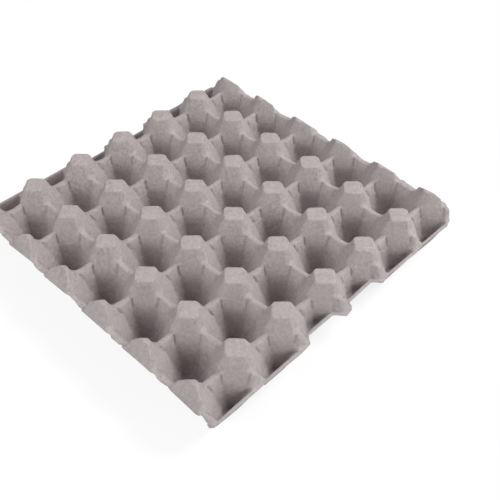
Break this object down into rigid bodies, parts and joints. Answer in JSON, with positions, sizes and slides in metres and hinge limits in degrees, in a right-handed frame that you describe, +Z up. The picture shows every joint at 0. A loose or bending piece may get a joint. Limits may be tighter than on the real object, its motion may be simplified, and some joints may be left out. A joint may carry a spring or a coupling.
{
  "type": "pulp egg tray",
  "caption": "Open moulded pulp tray with a grid of egg cups between tall posts, joined by low saddles, with half cups and finger notches along two sides.",
  "frame": {"origin": "centre of the tray's outline, on the surface that its cup floors stand on", "axes": "+Z up; X across the rows towards a side rim with a finger notch; Y along the side rims"},
  "size_m": [0.302, 0.294, 0.046],
  "materials": {
    "pulp": "matte, finely mottled fibre"
  },
  "bodies": {
    "root": {"egg_tray": "pulp"}
  },
  "joints": []
}
